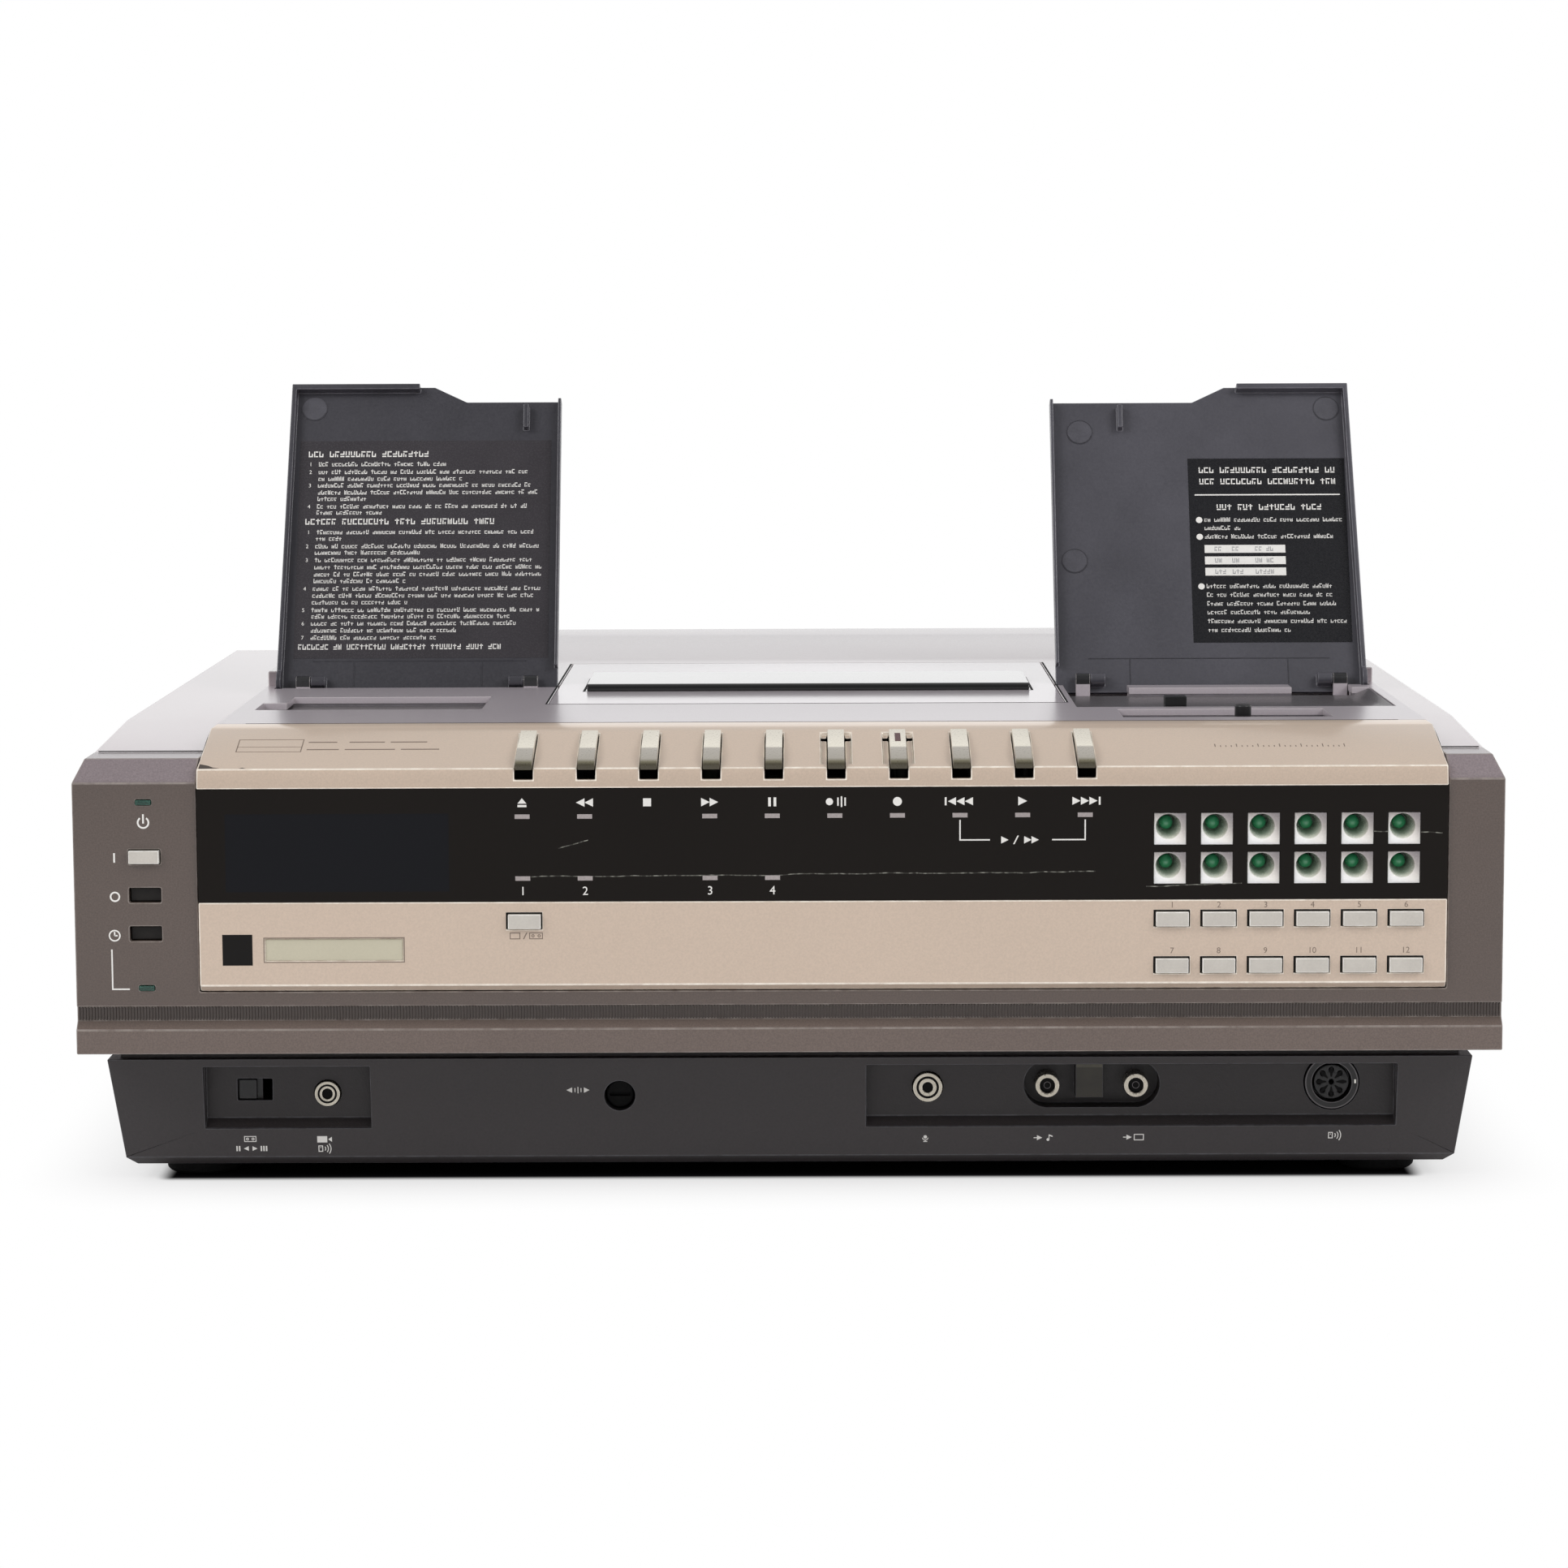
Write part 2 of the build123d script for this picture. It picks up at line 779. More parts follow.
# Piano keys: each turns on one rod under the deck
key_names = (
    "key_eject", "key_rewind", "key_stop", "key_fast_forward", "key_pause",
    "key_audio_dub", "key_record", "key_reverse_search", "key_play", "key_forward_search",
)
key_pivot_y = front + key_pivot_run
key_back = front + key_slot_run - key_clearance
key_back_z = deck_z - (slant_y - key_back) * slant_rise / slant_run + key_proud
for index, name in enumerate(key_names):
    with BuildPart() as piano_key:
        prism_x(
            [
                (crease_y - 0.8, crease_z - key_nose_drop),
                (crease_y - 0.8, crease_z + key_nose_rise),
                (crease_y + 2.0, crease_z + 3.2),
                (crease_y + 10.0, crease_z + 5.8),
                (key_back, key_back_z),
                (key_back, deck_z - key_tail_drop),
                (key_pivot_y - 4.0, deck_z - key_tail_drop),
                (key_pivot_y - 4.0, key_pivot_z - 1.9),
                (crease_y + 10.0, crease_z + 1.0),
                (crease_y + 2.2, crease_z - 0.1),
            ],
            key_centre(index) - key_width / 2, key_centre(index) + key_width / 2,
        )
        block(
            key_centre(index) - key_width / 2, key_centre(index) + key_width / 2,
            key_pivot_y - 4.1, key_pivot_y, key_pivot_z - 1.9, key_pivot_z + 1.4,
        )
        rod_x(
            key_pivot_y, key_pivot_z, key_boss_r,
            key_centre(index) - key_width / 2, key_centre(index) + key_width / 2,
        )
        rod_x(
            key_pivot_y, key_pivot_z, key_rod_r + shaft_clearance,
            key_centre(index) - key_width, key_centre(index) + key_width, Mode.SUBTRACT,
        )
    save(piano_key, name)

# Top cover: painted metal wrap with a raised rear block around a valley for the cassette lid
with BuildPart() as top_cover:
    block(case_left, case_right, cover_y, cover_back, bezel_z, cover_z)
    shoulder_cuts(cover_y - 1, cover_back + 1)
    prism_x(
        [
            (cover_y - 1, bezel_top),
            (cover_y - 1, cover_z + 1),
            (cover_y + cover_slope_run, cover_z + 1),
            (cover_y + cover_slope_run, cover_z),
            (cover_y, bezel_top),
        ],
        case_left - 1, case_right + 1, Mode.SUBTRACT,
    )
    block(panel_left, panel_right, block_y, cover_back, cover_z - 1, raised_z)
    prism_x(
        [
            (block_y - 1, deck_z),
            (ramp_y, deck_z),
            (ramp_end_y, raised_z),
            (ramp_end_y, raised_z + 1),
            (block_y - 1, raised_z + 1),
        ],
        valley_left, valley_right, Mode.SUBTRACT,
    )
    block(
        case_left + skin, case_right - skin, cover_y - 1, cover_back + 1,
        bezel_z - 1, bezel_face_top - skin, Mode.SUBTRACT,
    )
    cover_roof = side_chamfer + side_shoulder + skin
    prism_x(
        [
            (cover_y - 1, bezel_z - 1),
            (cover_y - 1, bezel_top - skin),
            (cover_y, bezel_top - skin),
            (cover_y + cover_slope_run, cover_z - skin),
            (cover_back + 1, cover_z - skin),
            (cover_back + 1, bezel_z - 1),
        ],
        case_left + cover_roof, case_right - cover_roof, Mode.SUBTRACT,
    )
    for x0, x1 in ((panel_left + skin, valley_left - skin), (valley_right + skin, panel_right - skin)):
        block(x0, x1, block_y + skin, cover_back + 1, cover_z - skin - 1, raised_z - skin, Mode.SUBTRACT)
    prism_x(
        [
            (block_y + skin, cover_z - skin - 1),
            (block_y + skin, deck_z - skin),
            (ramp_y, deck_z - skin),
            (ramp_end_y, raised_z - skin),
            (cover_back + 1, raised_z - skin),
            (cover_back + 1, cover_z - skin - 1),
        ],
        valley_left - skin, valley_right + skin, Mode.SUBTRACT,
    )
    # Openings for the panel, the deck and the cassette lid
    block(
        panel_left - gap, panel_right + gap, cover_y - 1, block_y - 0.3,
        bezel_top - 10, deck_z + 1, Mode.SUBTRACT,
    )
    block(
        cassette_lid_left - gap, cassette_lid_right + gap, block_y - 1,
        cassette_lid_y + cassette_lid_depth + gap, bezel_top - 10, deck_z + 1, Mode.SUBTRACT,
    )
    # Return flanges that rest beside the neck of the base
    for x0, x1 in ((case_left, -neck_side - gap), (neck_side + gap, case_right)):
        block(x0, x1, cover_y, cover_back, bezel_z, bezel_z + flange_height)
save(top_cover, "top_cover")


def hinge_posts():
    """Left X edge of each of the four hinge posts, with the side on which its barrel lies."""
    return (
        (timer_lid_left + post_inset, 1),
        (timer_lid_right - post_inset - post_width, -1),
        (tuner_lid_left + post_inset, 1),
        (tuner_lid_right - post_inset - post_width, -1),
    )


def hinge_slots():
    """X ranges of the two deep slots behind the tuner well, where its hinge posts stand."""
    return (
        (tuner_well_left, tuner_well_left + left_slot_width),
        (tuner_well_right - tuner_bevel - right_slot_width, tuner_well_right - tuner_bevel),
    )


# Deck plate: grey plate with the two wells, the trough, the key rod and the lid hinges
with BuildPart() as deck_plate:
    block(panel_left, panel_right, deck_y, block_y - 0.6, deck_z - skin, deck_z)
    for x0 in (panel_left, panel_right - deck_skirt):
        block(x0, x0 + deck_skirt, deck_y, block_y - 0.6, deck_z - deck_skirt_height, deck_z)
    block(
        cassette_lid_left - gap, cassette_lid_right + gap, cassette_lid_y - gap, block_y,
        deck_z - skin - 1, deck_z + 1, Mode.SUBTRACT,
    )
    block(
        timer_well_left, timer_well_left + timer_well_width, well_y, well_y + timer_well_run - timer_step_run,
        deck_z - skin - 1, deck_z + 1, Mode.SUBTRACT,
    )
    block(
        timer_well_left + timer_step_width, timer_well_left + timer_well_width,
        well_y, well_y + timer_well_run, deck_z - skin - 1, deck_z + 1, Mode.SUBTRACT,
    )
    block(
        tuner_well_left, tuner_well_right, well_y, well_y + tuner_well_run,
        deck_z - skin - 1, deck_z + 1, Mode.SUBTRACT,
    )
    block(
        trough_x, trough_x + trough_width, trough_y, trough_y + trough_run,
        deck_z - skin - 1, deck_z + 1, Mode.SUBTRACT,
    )
    # Room behind the hinge line for the tails and the outer ears of the lids
    for x0, x1 in ((timer_lid_left, cassette_lid_left), (cassette_lid_right, tuner_lid_right)):
        block(x0 - 0.5, x1 + 0.5, deck_hinge_y, block_y, deck_z - skin - 1, deck_z + 1, Mode.SUBTRACT)
    for x0 in (timer_lid_left, tuner_lid_right - lid_flange):
        block(
            x0 - 0.5, x0 + lid_flange + 0.5, hinge_y - ear_r - 0.7, block_y,
            deck_z - skin - 1, deck_z + 1, Mode.SUBTRACT,
        )
    # Rail under the hinge line that carries the posts
    rail_z = deck_z - rail_drop
    for x0, x1 in ((panel_left, timer_lid_right), (tuner_lid_left, panel_right)):
        block(x0, x1, hinge_y - rail_run, hinge_y, rail_z, rail_z + skin)
        block(x0, x1, hinge_y - rail_run, hinge_y - rail_run + rail_web, rail_z, deck_z - skin)
    for x0, x1 in hinge_slots():
        block(
            x0, x1, well_y + tuner_well_run - 0.1, deck_hinge_y + 1,
            rail_z + skin, deck_z + 1, Mode.SUBTRACT,
        )
    for post_x, _ in hinge_posts():
        block(post_x, post_x + post_width, hinge_y - barrel_r, hinge_y, rail_z, hinge_z)
        rod_x(hinge_y, hinge_z, barrel_r, post_x, post_x + post_width)
        rod_x(
            hinge_y, hinge_z, pin_r + shaft_clearance, post_x - 1, post_x + post_width + 1, Mode.SUBTRACT,
        )
    # Rod that carries the piano keys, in three brackets
    rod_left = key_centre(0) - key_width / 2 - 8.5
    rod_right = key_centre(key_count - 1) + key_width / 2 + 6.5
    rod_middle = key_centre(4) + key_pitch / 2 - 1.25
    for bracket_x in (rod_left, rod_middle, rod_right - 2.5):
        block(
            bracket_x, bracket_x + 2.5, key_pivot_y - 2.5, key_pivot_y + 2.5,
            key_pivot_z - key_boss_r, deck_z - skin,
        )
    rod_x(key_pivot_y, key_pivot_z, key_rod_r, rod_left, rod_right)
save(deck_plate, "deck_plate")

# Timer well: shallow tray under the left opening, with a slot and three button holes
timer_floor = deck_z - timer_well_depth
with BuildPart() as timer_well:
    block(
        timer_well_left - tray_margin, timer_well_left + timer_well_width + tray_margin,
        well_y - tray_margin, well_y + timer_well_run + tray_margin,
        timer_floor - tray_floor, deck_z - skin,
    )
    block(
        timer_well_left, timer_well_left + timer_well_width, well_y, well_y + timer_well_run,
        timer_floor, deck_z, Mode.SUBTRACT,
    )
    block(
        mode_x - slider_stem / 2 - gap, mode_x + slider_stem / 2 + mode_travel + gap,
        mode_y - slider_stem / 2 - gap, mode_y + slider_stem / 2 + gap,
        timer_floor - tray_floor - 1, timer_floor + 1, Mode.SUBTRACT,
    )
    for index in range(3):
        x = set_x + index * set_pitch
        block(
            x - set_width / 2 - gap, x + set_width / 2 + gap,
            mode_y - set_run / 2 - gap, mode_y + set_run / 2 + gap,
            timer_floor - tray_floor - 1, timer_floor + 1, Mode.SUBTRACT,
        )
save(timer_well, "timer_well")

# Tuner well: tray under the right openings, with the deeper trough of the tuning knob
tuner_floor = deck_z - tuner_well_depth
trough_floor = deck_z - trough_depth
with BuildPart() as tuner_well:
    block(
        tuner_well_left - tray_margin, tuner_well_right + tray_margin,
        well_y - tray_margin, well_y + tuner_well_run + tray_margin,
        tuner_floor - tray_floor, deck_z - skin,
    )
    block(
        trough_x - tray_margin, trough_x + trough_width + tray_margin,
        trough_y - tray_margin, well_y,
        trough_floor - tray_floor, deck_z - skin,
    )
    block(
        tuner_well_left, tuner_well_right, well_y, well_y + tuner_well_run,
        tuner_floor, deck_z, Mode.SUBTRACT,
    )
    block(
        trough_x, trough_x + trough_width, trough_y, trough_y + trough_run,
        trough_floor, deck_z, Mode.SUBTRACT,
    )
    for x0, x1 in hinge_slots():
        block(
            x0, x1, well_y + tuner_well_run, well_y + tuner_well_run + tray_margin + 1,
            trough_floor, deck_z, Mode.SUBTRACT,
        )
    prism_y(
        [
            (tuner_well_right - tuner_bevel, tuner_floor),
            (tuner_well_right - gap, deck_z - gap),
            (tuner_well_right - gap, tuner_floor - 0.2),
            (tuner_well_right - tuner_bevel, tuner_floor - 0.2),
        ],
        well_y + gap, well_y + tuner_well_run - gap,
    )
    band_stem_x = band_knob_x + band_knob_width / 2
    band_stem_y = band_knob_y + band_knob_run / 2
    block(
        band_stem_x - slider_stem / 2 - gap, band_stem_x + slider_stem / 2 + band_travel + gap,
        band_stem_y - slider_stem / 2 - gap, band_stem_y + slider_stem / 2 + gap,
        tuner_floor - tray_floor - 1, tuner_floor + 1, Mode.SUBTRACT,
    )
    rod_z(
        tuning_x, tuning_y, pin_r + shaft_clearance,
        trough_floor - tray_floor - 1, trough_floor + 1, Mode.SUBTRACT,
    )
save(tuner_well, "tuner_well")


def slide_knob(x, y, run, knob_width, floor, top):
    """Knob on a tray floor, its stem through the slot and the slider plate below."""
    block(x - knob_width / 2, x + knob_width / 2, y - run / 2, y + run / 2, floor, top)
    block(
        x - slider_stem / 2, x + slider_stem / 2, y - slider_stem / 2, y + slider_stem / 2,
        floor - tray_floor, floor,
    )
    block(
        x - knob_width / 2, x + knob_width / 2, y - run / 2, y + run / 2,
        floor - tray_floor - slider_plate, floor - tray_floor,
    )


with BuildPart() as band_switch:
    slide_knob(band_stem_x, band_stem_y, band_knob_run, band_knob_width, tuner_floor, knob_top)
save(band_switch, "band_switch")

with BuildPart() as mode_switch:
    slide_knob(mode_x, mode_y, 4.0, mode_knob_width, timer_floor, timer_floor + 1.8)
save(mode_switch, "mode_switch")

with BuildPart() as tuning_knob:
    rod_z(tuning_x, tuning_y, tuning_r, trough_floor, knob_top)
    rod_z(tuning_x, tuning_y, pin_r, trough_floor - tray_floor - 3, trough_floor)
    chamfer(tuning_knob.edges().group_by(Axis.Z)[-1], 0.4)
save(tuning_knob, "tuning_knob")

for index, name in enumerate(("set_button", "enter_button", "program_button")):
    with BuildPart() as well_button:
        x = set_x + index * set_pitch
        block(
            x - set_width / 2, x + set_width / 2, mode_y - set_run / 2, mode_y + set_run / 2,
            timer_floor - tray_floor - 1, timer_floor + set_proud,
        )
        block(
            x - set_width / 2 - 1, x + set_width / 2 + 1, mode_y - set_run / 2 - 1, mode_y + set_run / 2 + 1,
            timer_floor - tray_floor - 1.2, timer_floor - tray_floor,
        )
        rod_z(x, mode_y, 1.5, timer_floor - tray_floor - 6, timer_floor - tray_floor)
    save(well_button, name)


def lid_shell(outer_x, inner_x, long_width, lip_width, hook_inset):
    """Shut lid with its hinge line on the X axis, outer side first."""
    side = 1 if inner_x > outer_x else -1
    rim = hinge_z - deck_z - gap
    lid_width = abs(inner_x - outer_x)

    def plate(plan, z0, z1):
        """Add a plan outline, given as distances from the outer edge and the hinge line."""
        prism_z([(outer_x + side * a, y) for a, y in plan], z0, z1)

    def rib(a0, a1, y0, y1, z0):
        """Add a straight rib under the skin."""
        plate([(a0, y0), (a1, y0), (a1, y1), (a0, y1)], z0, lid_under)

    plate(
        [
            (lid_taper, -lid_long),
            (long_width, -lid_long),
            (long_width + lid_slope_width, -lid_short),
            (lid_width, -lid_short),
            (lid_width, lid_tail),
            (0, lid_tail),
            (0, -ear_r),
        ],
        lid_under, lid_under + lid_skin,
    )
    plate(
        [
            (lid_taper, -lid_long),
            (lid_taper + lid_flange, -lid_long),
            (lid_flange, -ear_r),
            (lid_flange, 0),
            (0, 0),
            (0, -ear_r),
        ],
        -rim, lid_under,
    )
    rod_x(0, 0, ear_r, *sorted((outer_x, outer_x + side * lid_flange)))
    rib(lid_width - lid_inner_flange, lid_width, -lid_short, -6, -rim)
    rib(lid_taper, lip_width, -lid_long, -lid_long + lid_lip, -rim)
    hook_middle = lid_width - hook_inset
    rib(
        hook_middle - hook_width / 2, hook_middle + hook_width / 2,
        -lid_short + lid_lip, -lid_short + lid_lip + hook_run, -rim + post_clearance,
    )


def lid_barrels(posts):
    """Barrel and pin beside each hinge post."""
    for post_x, barrel_side in posts:
        near = post_x + post_width + gap if barrel_side > 0 else post_x - gap
        far = near + barrel_side * post_width
        x0, x1 = sorted((near, far))
        rod_x(0, 0, barrel_r, x0, x1)
        block(x0, x1, -barrel_r, barrel_r, 0, lid_under)
        p0, p1 = sorted((near, near - barrel_side * (post_width + gap)))
        rod_x(0, 0, pin_r, p0, p1)


posts = hinge_posts()
with BuildPart() as timer_lid_shut:
    lid_shell(timer_lid_left, timer_lid_right, timer_lid_long_width, timer_lid_lip_width, timer_hook_inset)
    lid_barrels(posts[:2])
with BuildPart() as timer_lid:
    with Locations(Location((0, hinge_y, hinge_z), (-timer_open_angle, 0, 0))):
        add(timer_lid_shut.part)
save(timer_lid, "timer_lid")

with BuildPart() as tuner_lid_shut:
    lid_shell(tuner_lid_right, tuner_lid_left, tuner_lid_long_width, tuner_lid_lip_width, tuner_hook_inset)
    lid_barrels(posts[2:])
with BuildPart() as tuner_lid:
    with Locations(Location((0, hinge_y, hinge_z), (-tuner_open_angle, 0, 0))):
        add(tuner_lid_shut.part)
save(tuner_lid, "tuner_lid")

# Cassette lid: flat plate in the valley, with an opening for the raised window
cassette_lid_back = cassette_lid_y + cassette_lid_depth
with BuildPart() as cassette_lid:
    block(
        cassette_lid_left, cassette_lid_right, cassette_lid_y, cassette_lid_back,
        deck_z - skin, deck_z,
    )
    block(
        lens_left, lens_left + lens_width, lens_y, lens_y + lens_run,
        deck_z - skin - 1, deck_z + 1, Mode.SUBTRACT,
    )
save(cassette_lid, "cassette_lid")

# Cassette window: raised smoked insert with a rounded front edge
with BuildPart() as cassette_window:
    block(
        lens_left + 0.2, lens_left + lens_width - 0.2, lens_y + 0.2, lens_y + lens_run - 0.2,
        deck_z - skin, deck_z,
    )
    block(
        lens_left - lens_lip, lens_left + lens_width + lens_lip,
        lens_y - lens_lip, lens_y + lens_run + lens_lip,
        deck_z, deck_z + lens_rise,
    )
    front_edge = cassette_window.edges().filter_by(Axis.X).group_by(Axis.Z)[-1].sort_by(Axis.Y)[0]
    fillet(front_edge, lens_rise * 0.8)
save(cassette_window, "cassette_window")

# Cassette holder: open fronted box under the lid, with two ledges for the cassette
holder_half = cassette_width / 2 + cassette_clearance + holder_wall
holder_y = cassette_lid_y + holder_inset_y
holder_back = holder_y + cassette_depth + cassette_clearance + holder_wall
holder_top = deck_z - skin
holder_bottom = holder_top - 2 * holder_wall - cassette_height - 2 * cassette_clearance
with BuildPart() as cassette_holder:
    block(
        cassette_x - holder_half, cassette_x + holder_half,
        holder_y, holder_back, holder_bottom, holder_top,
    )
    block(
        cassette_x - holder_half + holder_wall, cassette_x + holder_half - holder_wall,
        holder_y - 1, holder_back - holder_wall,
        holder_bottom + holder_wall, holder_top - holder_wall, Mode.SUBTRACT,
    )
    block(
        cassette_x - holder_half + holder_ledge, cassette_x + holder_half - holder_ledge,
        holder_y - 1, holder_back + 1,
        holder_bottom - 1, holder_bottom + holder_wall + 1, Mode.SUBTRACT,
    )
    block(
        lens_left + 12, lens_left + lens_width - 12, lens_y + 4, lens_y + lens_run - 4,
        holder_top - holder_wall - 1, holder_top + 1, Mode.SUBTRACT,
    )
save(cassette_holder, "cassette_holder")

# Mechanism chassis: plate on four legs, with the reel bushes, the lower drum and the ring guide
chassis_top = chassis_z + chassis_thickness
lower_drum_top = chassis_top + lower_drum_height
reel_xs = (cassette_x - reel_pitch / 2, cassette_x + reel_pitch / 2)
with BuildPart() as mechanism_chassis:
    block(chassis_left, chassis_right, chassis_y, chassis_y + chassis_run, chassis_z, chassis_top)
    for x in (chassis_left + leg_inset, chassis_right - leg_inset):
        for y in (chassis_y + leg_inset, chassis_y + chassis_run - leg_inset):
            rod_z(x, y, leg_r, floor_z, chassis_z)
    rod_z(cassette_x, drum_y, drum_r - 0.4, chassis_top, lower_drum_top)
    rod_z(cassette_x, drum_y, ring_bore_r - 0.1, chassis_top, chassis_top + ring_height + gap)
    rod_z(
        cassette_x, drum_y, ring_bore_r - 0.1 - ring_guide_wall,
        chassis_top, chassis_top + ring_height + 2, Mode.SUBTRACT,
    )
    rod_z(cassette_x, drum_y, drum_r - 0.4, chassis_top, lower_drum_top)
    rod_z(cassette_x, drum_y, drum_shaft_r, lower_drum_top, lower_drum_top + upper_drum_height - 2)
    for x in reel_xs:
        rod_z(x, reel_y, pin_r + 1 + shaft_clearance, chassis_z - 1, chassis_top + 1, Mode.SUBTRACT)
    rod_z(capstan_x, capstan_y, capstan_r + shaft_clearance, chassis_z - 1, chassis_top + 1, Mode.SUBTRACT)
save(mechanism_chassis, "mechanism_chassis")

# Upper drum: turning half of the head drum
with BuildPart() as upper_drum:
    rod_z(cassette_x, drum_y, drum_r, lower_drum_top + gap, lower_drum_top + upper_drum_height)
    rod_z(
        cassette_x, drum_y, drum_shaft_r + shaft_clearance,
        lower_drum_top, lower_drum_top + upper_drum_height - 2 + gap, Mode.SUBTRACT,
    )
    chamfer(upper_drum.edges().group_by(Axis.Z)[-1], 0.8)
    with Locations((cassette_x, drum_y, lower_drum_top + gap)):
        with PolarLocations(drum_r, head_count):
            Box(head_slot, head_slot, head_slot, mode=Mode.SUBTRACT)
save(upper_drum, "upper_drum")

# Loading ring: draws the tape round the drum, and carries a guide post
with BuildPart() as loading_ring:
    ring_z = chassis_top + gap
    rod_z(cassette_x, drum_y, ring_bore_r + ring_width, ring_z, ring_z + ring_height)
    rod_z(cassette_x, drum_y, ring_bore_r, ring_z - 1, ring_z + ring_height + 1, Mode.SUBTRACT)
    rod_z(
        cassette_x - ring_bore_r - ring_width / 2, drum_y, guide_post_r,
        ring_z + ring_height - 0.5, lower_drum_top + 6,
    )
save(loading_ring, "loading_ring")

# Reels: disc, spindle with three ribs, and a shaft through the chassis
for x, name in zip(reel_xs, ("supply_reel", "takeup_reel")):
    with BuildPart() as reel:
        reel_z = chassis_top + gap
        rod_z(x, reel_y, reel_r, reel_z, reel_z + reel_disc)
        rod_z(x, reel_y, spindle_r, reel_z + reel_disc, reel_z + reel_disc + spindle_height)
        for turn in range(3):
            angle = math.radians(90 + 120 * turn)
            rod_z(
                x + spindle_r * math.cos(angle), reel_y + spindle_r * math.sin(angle), 1.2,
                reel_z + reel_disc, reel_z + reel_disc + spindle_height - 3,
            )
        rod_z(x, reel_y, pin_r + 1, chassis_z - 4, reel_z)
    save(reel, name)

# Capstan: flywheel below the chassis and its shaft up to the tape
with BuildPart() as capstan_flywheel:
    flywheel_top = chassis_z - flywheel_drop
    rod_z(capstan_x, capstan_y, flywheel_r, flywheel_top - flywheel_height, flywheel_top)
    rod_z(capstan_x, capstan_y, capstan_r, flywheel_top, chassis_top + capstan_height)
    rod_z(capstan_x, capstan_y, capstan_r + 3, flywheel_top, chassis_z - gap)
save(capstan_flywheel, "capstan_flywheel")

# Circuit board on its pillars, with the tuner can and the tall parts
with BuildPart() as circuit_board:
    board_top = board_z + board_thickness
    block(board_left, board_right, board_y, board_back, board_z, board_top)
    can_y = board_y + 4 * chip_run
    block(
        board_left + 2 * pillar_inset, board_right - 2 * pillar_inset,
        can_y, can_y + can_run, board_top, board_top + can_height,
    )
    part_x = board_left + 2 * pillar_inset
    for step in range(4):
        part_y = can_y + can_run + capacitor_pitch * (step + 0.7)
        rod_z(part_x, part_y, capacitor_r, board_top, board_top + capacitor_height)
        block(
            part_x + 2 * capacitor_r, part_x + 2 * capacitor_r + chip_width,
            part_y - chip_run / 2, part_y + chip_run / 2, board_top, board_top + chip_height,
        )
save(circuit_board, "circuit_board")

# Mains transformer: laminated core with its winding, bolted to the base floor
with BuildPart() as transformer:
    core_z = floor_z
    block(
        transformer_x, transformer_x + transformer_width,
        transformer_y, transformer_y + transformer_run, core_z, core_z + 2,
    )
    block(
        transformer_x + 6, transformer_x + transformer_width - 6,
        transformer_y + 14, transformer_y + transformer_run - 14, core_z + 2, core_z + transformer_height,
    )
    block(
        transformer_x + 16, transformer_x + transformer_width - 16,
        transformer_y + 4, transformer_y + transformer_run - 4,
        core_z + 12, core_z + transformer_height - 10,
    )
save(transformer, "transformer")

# Rear panel: plate with jack holes, a cord gland and two spacer lugs
plate_back = back_plate_y + back_plate
rear_reach = button_proud - panel_y
with BuildPart() as rear_panel:
    block(
        case_left + skin + gap, case_right - skin - gap, back_plate_y, plate_back,
        base_top, bezel_face_top - skin - gap,
    )
    block(
        case_left + cover_roof + gap, case_right - cover_roof - gap, back_plate_y, plate_back,
        bezel_face_top - skin - gap - 1, cover_z - skin - gap,
    )
    block(
        panel_left + skin + gap, panel_right - skin - gap, back_plate_y, plate_back,
        cover_z - skin - gap - 1, raised_z - skin - gap,
    )
    # Notches beside the return flanges of the cover
    for x0, x1 in ((case_left, -neck_side), (neck_side, case_right)):
        block(
            x0, x1, back_plate_y - 1, plate_back + 1,
            base_top - 1, bezel_z + flange_height + gap, Mode.SUBTRACT,
        )
    for x in (-rear_lug_x, rear_lug_x):
        block(
            x - rear_lug_width / 2, x + rear_lug_width / 2, plate_back, rear_reach,
            bezel_z + 12, bezel_z + 24,
        )
    for step in range(2):
        rod_y(
            rear_jack_x + step * rear_jack_pitch, rear_jack_z, phono_r + gap,
            back_plate_y - 1, plate_back + 1, Mode.SUBTRACT,
        )
        rod_y(
            coax_x + step * rear_jack_pitch, rear_jack_z, coax_r + gap,
            back_plate_y - 1, plate_back + 1, Mode.SUBTRACT,
        )
    rod_y(gland_x, rear_jack_z, gland_r, plate_back, back - 0.5)
    rod_y(gland_x, rear_jack_z, gland_bore_r, back_plate_y - 1, back + 1, Mode.SUBTRACT)
save(rear_panel, "rear_panel")


def phono_jack(x, z, seat_y, mouth_y):
    """Phono socket: barrel with a deep bore and a flange on its seat."""
    y0, y1 = sorted((seat_y, mouth_y))
    rod_y(x, z, phono_r, y0, y1)
    if mouth_y < seat_y:
        rod_y(x, z, phono_bore_r, mouth_y - 1, seat_y - 1.5, Mode.SUBTRACT)
    else:
        rod_y(x, z, phono_bore_r, seat_y + 1.5, mouth_y + 1, Mode.SUBTRACT)


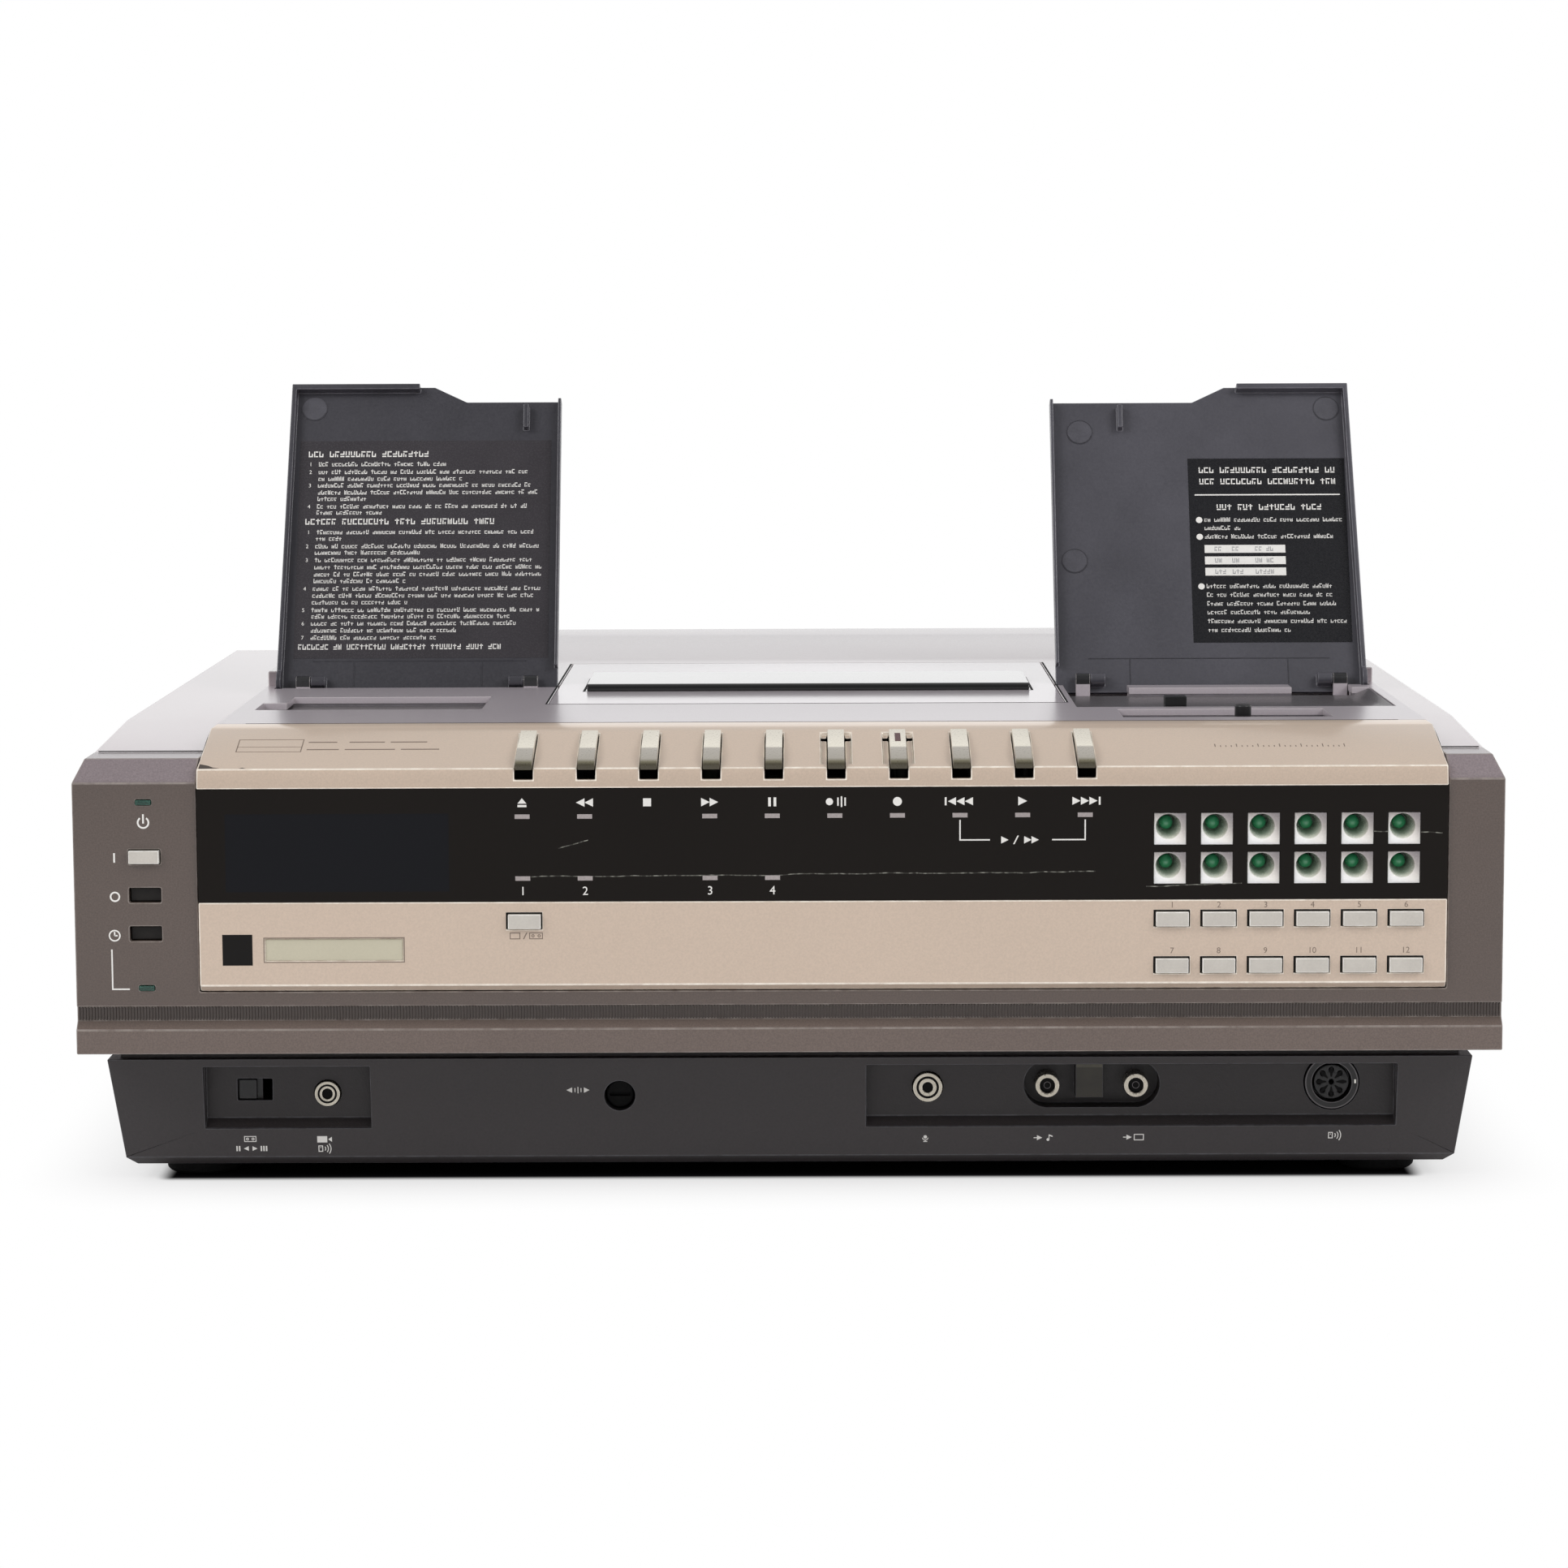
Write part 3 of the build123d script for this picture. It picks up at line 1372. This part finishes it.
# Jack sockets: two phono and two small jacks in front, two phono and two aerial jacks behind
with BuildPart() as jack_sockets:
    for step in range(2):
        phono_jack(phono_x + step * phono_pitch, phono_z, pocket_floor_y, field_floor_y)
    for x, z, radius in ((camera_jack_x, camera_jack_z, camera_jack_r), (mic_jack_x, mic_jack_z, mic_jack_r)):
        wall_back = field_floor_y + field_wall
        rod_y(x, z, radius, field_floor_y - 1.5, wall_back + 6)
        rod_y(x, z, radius + 1.5, wall_back, wall_back + 2)
        rod_y(x, z, mini_bore_r, field_floor_y - 2, wall_back + 4, Mode.SUBTRACT)
    for step in range(2):
        x = rear_jack_x + step * rear_jack_pitch
        phono_jack(x, rear_jack_z, back_plate_y - 2, back - 0.5)
        block(x - 6, x + 6, back_plate_y - 3, back_plate_y, rear_jack_z - 6, rear_jack_z + 6)
        x = coax_x + step * rear_jack_pitch
        rod_y(x, rear_jack_z, coax_r, back_plate_y - 3, back - 0.5)
        block(x - 7, x + 7, back_plate_y - 3, back_plate_y, rear_jack_z - 7, rear_jack_z + 7)
        rod_y(x, rear_jack_z, 1.2, back_plate_y, back + 1, Mode.SUBTRACT)
save(jack_sockets, "jack_sockets")

# Round socket for the remote control lead, with seven pin holes round one in the middle
with BuildPart() as remote_socket:
    wall_back = field_floor_y + field_wall
    rod_y(round_socket_x, round_socket_z, round_socket_r, field_floor_y - 0.8, wall_back + 8)
    rod_y(round_socket_x, round_socket_z, round_socket_r + 1.2, wall_back, wall_back + 2)
    rod_y(
        round_socket_x, round_socket_z, round_socket_face_r,
        field_floor_y - 2, field_floor_y + 4, Mode.SUBTRACT,
    )
    rod_y(round_socket_x, round_socket_z, round_socket_face_r - 0.8, field_floor_y + 0.5, field_floor_y + 4)
    for turn in range(8):
        reach = 0 if turn == 7 else round_socket_pin_circle
        angle = math.radians(45 + turn * 45)
        rod_y(
            round_socket_x + reach * math.cos(angle), round_socket_z + reach * math.sin(angle),
            round_socket_pin_r, field_floor_y - 2, field_floor_y + 7, Mode.SUBTRACT,
        )
save(remote_socket, "remote_socket")

# Tape speed switch: knob set back in its slot, on a plate behind the wall
with BuildPart() as tape_speed_switch:
    knob_x = switch_slot_x + switch_end
    knob_z = switch_slot_z + switch_side
    wall_back = field_floor_y + field_wall
    block(
        knob_x, knob_x + switch_knob_width, field_floor_y + 0.6, wall_back + 1.5,
        knob_z, knob_z + switch_slot_height - 2 * switch_side,
    )
    block(
        knob_x - 2, knob_x + switch_knob_width + 2, wall_back, wall_back + 1.5,
        knob_z - 2, knob_z + switch_slot_height + 1.2,
    )
save(tape_speed_switch, "tape_speed_switch")

# Tracking knob: slotted head in its tube and a shaft through the end wall
with BuildPart() as tracking_knob:
    rod_y(tracking_x, tracking_z, tracking_knob_r, tube_front + 1, tube_back - 2 - gap)
    rod_y(tracking_x, tracking_z, tracking_shaft_r, tube_front + 1, tube_back + 6)
    block(
        tracking_x - 3.5, tracking_x + 3.5, tube_front, tube_front + 2.2,
        tracking_z - 0.6, tracking_z + 0.6, Mode.SUBTRACT,
    )
save(tracking_knob, "tracking_knob")
